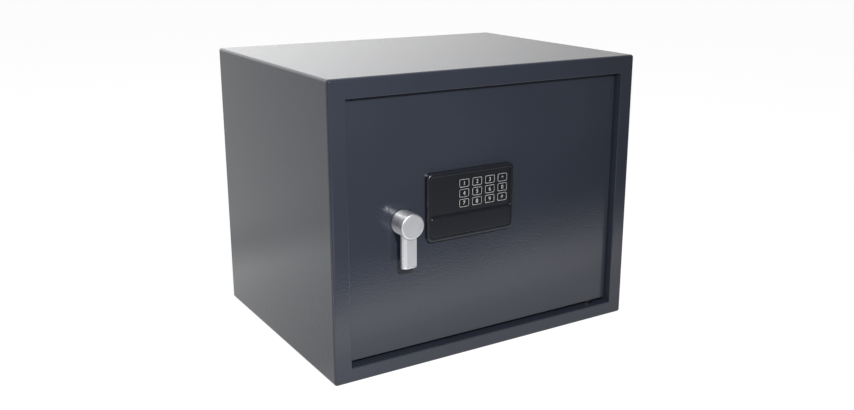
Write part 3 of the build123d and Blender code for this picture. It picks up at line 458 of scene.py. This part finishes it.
def enamelled_winding():
    """Copper wire under enamel: ridges up the coil.

    A wave texture turns 20 radians a metre at scale 1, so 125 is 2.5 mm from ridge to ridge.
    """
    ridge_scale = 125
    ridge_height_mm = 0.1
    material, output = new_material("enamelled_copper_winding")
    tree = material.node_tree
    place = add_node(tree, "ShaderNodeTexCoord")
    turns = add_node(tree, "ShaderNodeTexWave", {
        "Vector": place.outputs["Object"], "Scale": ridge_scale, "Distortion": 0.5,
    }, bands_direction="Z")
    bump = add_node(tree, "ShaderNodeBump", {
        "Height": turns.outputs["Fac"], "Distance": ridge_height_mm * mm,
        "Strength": 1.0,
    })
    shader = add_node(tree, "ShaderNodeBsdfPrincipled", {
        "Base Color": linear("a8552c"), "Metallic": 1.0, "Roughness": 0.35,
        "Normal": bump.outputs["Normal"],
    })
    finish_material(tree, output, shader)
    return material


paint_nodes(circuit_resist(), "keypad_board", "control_board")
paint_nodes(enamelled_winding(), "solenoid_coil")
print("boards and coil painted")

# %% [markdown]
# ## Keys and their print
# Each key is a low cap in a window of the panel. White screen ink draws a rounded
# outline near its edge and a figure in the middle. It could be painted in the shader,
# but a print is a real layer of ink, so it is made as a thin solid that rides on its
# key and goes in with it. The figures come from Blender's own font, and the star and
# hash are smaller than the digits.

# %% Sizes of the print
key_figures = {
    "key_1": "1", "key_2": "2", "key_3": "3", "key_star": "*",
    "key_4": "4", "key_5": "5", "key_6": "6", "key_0": "0",
    "key_7": "7", "key_8": "8", "key_9": "9", "key_hash": "#",
}
ink_thick = 0.04 * mm
key_lip = 0.4 * mm
outline_inset = 0.42 * mm
outline_stroke = 0.42 * mm
outline_corner = 1.5 * mm
least_corner = 0.5 * mm
figure_size = 6.0 * mm
figure_bold = 0.02 * mm
sign_size = {"*": 5.4 * mm, "#": 4.6 * mm}
sign_bold = {"*": 0.22 * mm}


# %% Outline and figure
def rounded_loop(half_wide, half_high, corner, steps=6):
    """Points round a rectangle with round corners, in the plane of the key's face."""
    points = []
    for turn_index, (sx, sz) in enumerate(((1, 1), (-1, 1), (-1, -1), (1, -1))):
        for step in range(steps + 1):
            angle = math.radians(90 * (turn_index + step / steps))
            points.append((
                sx * (half_wide - corner) + corner * math.cos(angle),
                sz * (half_high - corner) + corner * math.sin(angle),
            ))
    return points


def ink_outline(key_low, key_high):
    """A ring of ink that follows the key's edge."""
    half_wide = (key_high.x - key_low.x) / 2 - key_lip - outline_inset
    half_high = (key_high.z - key_low.z) / 2 - key_lip - outline_inset
    middle = (key_low + key_high) / 2
    face = key_low.y
    mesh = bmesh.new()
    rings = []
    for inset in (0, outline_stroke):
        corner = max(outline_corner - inset, least_corner)
        loop = rounded_loop(half_wide - inset, half_high - inset, corner)
        for depth in (0, -ink_thick):
            rings.append([
                mesh.verts.new((middle.x + x, face + depth, middle.z + z)) for x, z in loop
            ])
    outer_back, outer_front, inner_back, inner_front = rings
    count = len(outer_back)
    for i in range(count):
        j = (i + 1) % count
        mesh.faces.new((outer_front[i], outer_front[j], inner_front[j], inner_front[i]))
        mesh.faces.new((outer_back[i], outer_back[j], outer_front[j], outer_front[i]))
        mesh.faces.new((inner_front[i], inner_front[j], inner_back[j], inner_back[i]))
        mesh.faces.new((inner_back[i], inner_back[j], outer_back[j], outer_back[i]))
    bmesh.ops.recalc_face_normals(mesh, faces=mesh.faces[:])
    return mesh


def ink_figure(text, middle, face):
    """A figure as a thin mesh, centred on the key's face."""
    curve = bpy.data.curves.new("figure", "FONT")
    curve.body = text
    curve.size = sign_size.get(text, figure_size)
    curve.offset = sign_bold.get(text, figure_bold)
    curve.align_x = "CENTER"
    curve.extrude = ink_thick / 2
    figure = bpy.data.objects.new("figure", curve)
    bpy.context.scene.collection.objects.link(figure)
    bpy.context.view_layer.update()
    mesh = bpy.data.meshes.new_from_object(figure.evaluated_get(
        bpy.context.evaluated_depsgraph_get()))
    bpy.data.objects.remove(figure)
    low = Vector([min(v.co[i] for v in mesh.vertices) for i in range(3)])
    high = Vector([max(v.co[i] for v in mesh.vertices) for i in range(3)])
    mesh.transform(Matrix.Translation(-(low + high) / 2))
    mesh.transform(Matrix.Rotation(math.radians(90), 4, "X"))
    mesh.transform(Matrix.Translation((middle.x, face - ink_thick / 2, middle.z)))
    return mesh


# %% Prints on the keys
for key_name, figure_text in key_figures.items():
    key_low, key_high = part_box(key_name)
    print_mesh = ink_outline(key_low, key_high)
    figure_mesh = ink_figure(figure_text, (key_low + key_high) / 2, key_low.y)
    print_mesh.from_mesh(figure_mesh)
    data = bpy.data.meshes.new(key_name + "_print")
    print_mesh.to_mesh(data)
    print_mesh.free()
    bpy.data.meshes.remove(figure_mesh)
    data.materials.append(white_ink)
    piece = bpy.data.objects.new(key_name + "_print", data)
    bpy.context.scene.collection.objects.link(piece)
    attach(piece, key_name + "_cap")
paint_nodes(key_plastic, *key_figures)
print("prints made:", len(key_figures))

# %% [markdown]
# ## Felt mat
# The floor of the safe is lined with needle felt, a mat of tangled fibres with a soft
# nap and no weave. It was cut from a sheet and laid in loose, so it is never quite
# flat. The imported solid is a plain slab; this sheet takes its place, with a surface
# that sinks and swells by a few tenths of a millimetre, and a worn cut edge. Cloth
# physics isn't needed for a mat that lies flat: noise on a grid is enough, and it comes
# out the same on each run.

# %% Felt material
def needle_felt():
    """Charcoal felt: tangled fibres, a pale sheen at grazing angles and a soft relief.

    The fibres are drawn 0.8 mm thick, coarser than real ones, so that they show.
    """
    fibre_mm = 0.8
    relief_mm = 0.5
    darkest = 0.55
    palest = 1.6
    material, output = new_material("charcoal_needle_felt")
    tree = material.node_tree
    place = add_node(tree, "ShaderNodeTexCoord")
    fibres = add_node(tree, "ShaderNodeTexNoise", {
        "Vector": place.outputs["Object"], "Scale": 1 / (fibre_mm * mm), "Detail": 6.0,
        "Roughness": 0.75, "Distortion": 1.5,
    })
    shade = add_node(tree, "ShaderNodeMapRange", {
        "Value": fibres.outputs["Fac"], "From Min": noise_low, "From Max": noise_high,
        "To Min": darkest, "To Max": palest,
    })
    tint = add_node(tree, "ShaderNodeVectorMath", {
        0: linear("2b2c30")[:3], "Scale": shade.outputs["Result"],
    }, operation="SCALE")
    bump = add_node(tree, "ShaderNodeBump", {
        "Height": fibres.outputs["Fac"], "Distance": relief_mm * mm, "Strength": 1.0,
    })
    shader = add_node(tree, "ShaderNodeBsdfPrincipled", {
        "Base Color": tint.outputs["Vector"], "Roughness": 0.95, "IOR": 1.45,
        "Sheen Weight": 0.4, "Sheen Roughness": 0.5, "Normal": bump.outputs["Normal"],
    })
    finish_material(tree, output, shader)
    return material


# %% Sizes of the mat
grid_step = 4 * mm
hole_r = 12 * mm
hole_aside = 100 * mm
hole_behind = 20 * mm
hole_places = [Vector((x, hole_behind, 0)) for x in (-hole_aside, hole_aside)]
broad_swell = 0.25 * mm
broad_rate = 25
fine_swell = 0.12 * mm
fine_rate = 90
edge_sink = 0.7 * mm
edge_worn = 3 * mm
top_gap = 0.4 * mm
nap_gap = 0.9 * mm


# %% Uneven top
def felt_top(low, high):
    """The mat's top with two punched holes, uneven by a few tenths of a millimetre."""
    columns = round((high.x - low.x) / grid_step)
    rows = round((high.y - low.y) / grid_step)
    mesh = bmesh.new()
    grid = {}
    for i in range(columns + 1):
        for j in range(rows + 1):
            spot = Vector((
                low.x + (high.x - low.x) * i / columns,
                low.y + (high.y - low.y) * j / rows, 0,
            ))
            for hole in hole_places:
                away = spot - hole
                if away.length < hole_r:
                    spot = hole + away.normalized() * hole_r if away.length > 0 else spot
            swell = broad_swell * noise.noise(spot * broad_rate)
            swell += fine_swell * noise.noise(spot * fine_rate)
            edge = min(spot.x - low.x, high.x - spot.x, spot.y - low.y, high.y - spot.y)
            sink = edge_sink * max(0, 1 - edge / edge_worn) ** 2
            spot.z = high.z - top_gap + swell - sink
            grid[i, j] = mesh.verts.new(spot)
    for i in range(columns):
        for j in range(rows):
            corners = (grid[i, j], grid[i + 1, j], grid[i + 1, j + 1], grid[i, j + 1])
            middle = sum((v.co for v in corners), Vector()) / 4
            middle.z = 0
            if all((middle - hole).length > hole_r for hole in hole_places):
                mesh.faces.new(corners)
    loose = [v for v in mesh.verts if not v.link_faces]
    bmesh.ops.delete(mesh, geom=loose, context="VERTS")
    return mesh


# %% Felt sheet
def felt_sheet():
    """The top made into a thick sheet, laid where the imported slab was."""
    low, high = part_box("floor_mat")
    mesh = felt_top(low, high)
    thickness = high.z - low.z - nap_gap
    bmesh.ops.solidify(mesh, geom=mesh.faces[:], thickness=thickness)
    for face in mesh.faces:
        face.smooth = True
    data = bpy.data.meshes.new("felt_mat")
    mesh.to_mesh(data)
    mesh.free()
    piece = bpy.data.objects.new("felt_mat", data)
    bpy.context.scene.collection.objects.link(piece)
    data.materials.append(needle_felt())
    lowest = min(v.co.z for v in data.vertices)
    data.transform(Matrix.Translation((0, 0, low.z - lowest)))
    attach(piece, "cabinet")
    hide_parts("floor_mat")


felt_sheet()

# %% [markdown]
# ## The white table
# The safe stands on a white table in a dark studio. Seen straight by the camera, the
# table is plain white. What counts is what the paint mirrors: the door's lower half
# shows the table and its upper half the dark in front of it. So reflections meet a
# painted profile of brightness that ends about 0.3 m in front of the door, and a glowing
# patch, painted light, lies further out on the left for the handle to mirror. The profile
# isn't known from the real studio: it was first read from how bright the photographed
# paint mirrors each distance, then moved until the render agreed. A floor that takes
# shadows and also glows keeps the contact shadow and the white ground in one surface.

# %% Table as the paint mirrors it
# Each pair is a distance behind the safe's middle, in metres, and a painted brightness. The
# dark starts 0.46 m in front of the middle, and only a faint painted glow lies beyond it.
table_profile = (
    (-1.0, 0.2), (-0.60, 0.0), (-0.46, 0.0), (-0.40, 0.2), (-0.35, 0.9), (-0.28, 1.4),
    (-0.22, 0.85), (-0.10, 0.66), (0.10, 0.85), (0.20, 1.0), (0.31, 0.68), (0.41, 0.8),
)
profile_reach = 1.0
table_slant = 0.14
# Painted shade: between 0.22 and 0.6 m to the right, the table's glow falls to 0.55 of the profile.
fade_from = 0.22
fade_to = 0.6
faded = 0.55
# Painted light: a round glowing patch on the table, left of the safe and in front of it, for the handle to
# mirror.
glow_patch_place = (-0.24, -0.62, 0)
glow_patch_inner = 0.08
glow_patch_outer = 0.28
glow_patch_bright = 0.9
paper_share = 0.3
glow_mirrored = 0.9
glow_on_matt = 0.4


# %% Table material
def studio_floor():
    """White to the camera; to reflections, a painted glow, white by the safe and dark far in front."""
    material, output = new_material("white_table")
    tree = material.node_tree
    place = add_node(tree, "ShaderNodeTexCoord")
    behind = add_node(tree, "ShaderNodeVectorMath", {
        0: place.outputs["Object"], 1: (table_slant, 1, 0),
    }, operation="DOT_PRODUCT")
    along = add_node(tree, "ShaderNodeMapRange", {
        "Value": behind.outputs["Value"], "From Min": -profile_reach,
        "From Max": profile_reach,
    })
    profile = add_node(tree, "ShaderNodeValToRGB", {"Fac": along.outputs["Result"]})
    points = profile.color_ramp.elements
    points.remove(points[1])
    for index, (distance, bright) in enumerate(table_profile):
        spot = (distance + profile_reach) / (2 * profile_reach)
        point = points[0] if index == 0 else points.new(spot)
        point.position = spot
        point.color = (bright, bright, bright, 1)
    split = add_node(tree, "ShaderNodeSeparateXYZ", {"Vector": place.outputs["Object"]})
    # Painted shade: the table's glow darkens towards the right.
    aside = add_node(tree, "ShaderNodeMapRange", {
        "Value": split.outputs["X"], "From Min": fade_from, "From Max": fade_to,
        "To Min": 1.0, "To Max": faded,
    })
    table = add_node(tree, "ShaderNodeMath", {
        0: profile.outputs["Color"], 1: aside.outputs["Result"],
    }, operation="MULTIPLY")
    # Painted light: the table glows brighter in a round patch, for the handle to mirror.
    to_glow_patch = add_node(tree, "ShaderNodeVectorMath", {
        0: place.outputs["Object"], 1: glow_patch_place,
    }, operation="DISTANCE")
    glow_patch = add_node(tree, "ShaderNodeMapRange", {
        "Value": to_glow_patch.outputs["Value"], "From Min": glow_patch_inner, "From Max": glow_patch_outer,
        "To Min": glow_patch_bright, "To Max": 0.0,
    })
    mirrored = add_node(tree, "ShaderNodeMath", {
        0: table.outputs["Value"], 1: glow_patch.outputs["Result"],
    }, operation="MAXIMUM")
    path = add_node(tree, "ShaderNodeLightPath")
    seen = add_node(tree, "ShaderNodeMix", {
        0: path.outputs["Is Camera Ray"], "A": mirrored.outputs["Value"],
        "B": (1, 1, 1, 1),
    }, data_type="RGBA")
    paper = add_node(tree, "ShaderNodeVectorMath", {
        0: seen.outputs["Result"], "Scale": paper_share,
    }, operation="SCALE")
    lit = add_node(tree, "ShaderNodeBsdfDiffuse", {"Color": paper.outputs["Vector"]})
    glow = add_node(tree, "ShaderNodeMapRange", {
        "Value": path.outputs["Is Diffuse Ray"], "To Min": glow_mirrored,
        "To Max": glow_on_matt,
    })
    white = add_node(tree, "ShaderNodeEmission", {
        "Color": seen.outputs["Result"], "Strength": glow.outputs["Result"],
    })
    both = add_node(tree, "ShaderNodeAddShader", {0: lit.outputs[0], 1: white.outputs[0]})
    finish_material(tree, output, both)
    return material


# %% Table
floor_reach = 14
floor_mesh = bpy.data.meshes.new("floor")
floor_mesh.from_pydata(
    [(x * floor_reach, y * floor_reach, 0) for x, y in ((-1, -1), (1, -1), (1, 1), (-1, 1))],
    [], [(0, 1, 2, 3)],
)
floor = bpy.data.objects.new("floor", floor_mesh)
bpy.context.scene.collection.objects.link(floor)
floor_mesh.materials.append(studio_floor())
print("table reaches", floor_reach, "m each way")

# %% [markdown]
# ## Lamps
# One flash, above the camera and to its right, does most of the work, with a weak
# softbox overhead. The flash draws the small glints on rounded corners, and its echo from the hub's side is
# the bright patch on the door beside the hub. It is turned to the left of the safe, so
# that its light falls off towards the right, as in the photograph. Both are round area
# lamps: a small disk for the flash's crisp shadow, and a wide one for the soft fill.

# %% Lamps
def lamp(name, place, aim, size, power):
    """A round area lamp at a place, turned to look at a point, in metres and watts."""
    data = bpy.data.lights.new(name, "AREA")
    data.energy = power
    data.shape = "DISK"
    data.size = size
    lamp_object = bpy.data.objects.new(name, data)
    bpy.context.scene.collection.objects.link(lamp_object)
    lamp_object.location = place
    direction = Vector(aim) - Vector(place)
    lamp_object.rotation_mode = "QUATERNION"
    lamp_object.rotation_quaternion = direction.to_track_quat("-Z", "Y")
    print(name, "at", round(direction.length, 2), "m from what it looks at")


lamp("overhead_softbox", place=(-0.2, 0.1, 2.2), aim=(0, 0, 0.1), size=1.8, power=8)
lamp("camera_flash", place=(-0.30, -0.98, 0.69), aim=(-0.85, -0.14, 0.20), size=0.14, power=12)

# %% [markdown]
# ## The backdrop
# The world stands for the backdrop and the room. To the camera it is plain white. The
# top of the safe mirrors it brighter to the left than to the right, and a little
# brighter higher up, while the room in front is dark. An image of a studio could be
# wrapped round the scene, but three ramps along x, y and z are enough. They were set in
# the same way as the table's profile.

# %% Brightness of the backdrop
# Each ramp starts and ends at a value of a direction's x, z or y, from -1 to 1.
left_edge = 0.33
right_edge = 0.64
backdrop_left = 1.6
backdrop_right = 0.75
low_edge = 0.1
high_edge = 0.15
backdrop_low = 0.85
backdrop_high = 1.1
front_edge = -0.4
back_edge = 0.3
room_in_front = 0.08
light_on_matt = 0.24

# %% World
world = bpy.data.worlds.new("studio")
world.use_nodes = True
bpy.context.scene.world = world
tree = world.node_tree
tree.nodes.clear()
output = add_node(tree, "ShaderNodeOutputWorld")
place = add_node(tree, "ShaderNodeTexCoord")
split = add_node(tree, "ShaderNodeSeparateXYZ", {"Vector": place.outputs["Generated"]})
sideways = add_node(tree, "ShaderNodeMapRange", {
    "Value": split.outputs["X"], "From Min": left_edge, "From Max": right_edge,
    "To Min": backdrop_left, "To Max": backdrop_right,
})
upwards = add_node(tree, "ShaderNodeMapRange", {
    "Value": split.outputs["Z"], "From Min": low_edge, "From Max": high_edge,
    "To Min": backdrop_low, "To Max": backdrop_high,
})
behind = add_node(tree, "ShaderNodeMapRange", {
    "Value": split.outputs["Y"], "From Min": front_edge, "From Max": back_edge,
    "To Min": room_in_front, "To Max": 1.0,
})
backdrop = add_node(tree, "ShaderNodeMath", {
    0: sideways.outputs["Result"], 1: upwards.outputs["Result"],
}, operation="MULTIPLY")
studio = add_node(tree, "ShaderNodeMath", {
    0: backdrop.outputs["Value"], 1: behind.outputs["Result"],
}, operation="MULTIPLY")
path = add_node(tree, "ShaderNodeLightPath")
mirror = add_node(tree, "ShaderNodeMath", {
    0: path.outputs["Is Glossy Ray"], 1: path.outputs["Is Transmission Ray"],
}, operation="MAXIMUM")
soft = add_node(tree, "ShaderNodeMix", {
    0: mirror.outputs["Value"], "A": light_on_matt, "B": studio.outputs["Value"],
}, data_type="FLOAT")
strength = add_node(tree, "ShaderNodeMix", {
    0: path.outputs["Is Camera Ray"], "A": soft.outputs["Result"], "B": 1.0,
}, data_type="FLOAT")
sky = add_node(tree, "ShaderNodeBackground", {
    "Color": (1, 1, 1, 1), "Strength": strength.outputs["Result"],
})
tree.links.new(sky.outputs[0], output.inputs["Surface"])
print("world:", world.name)
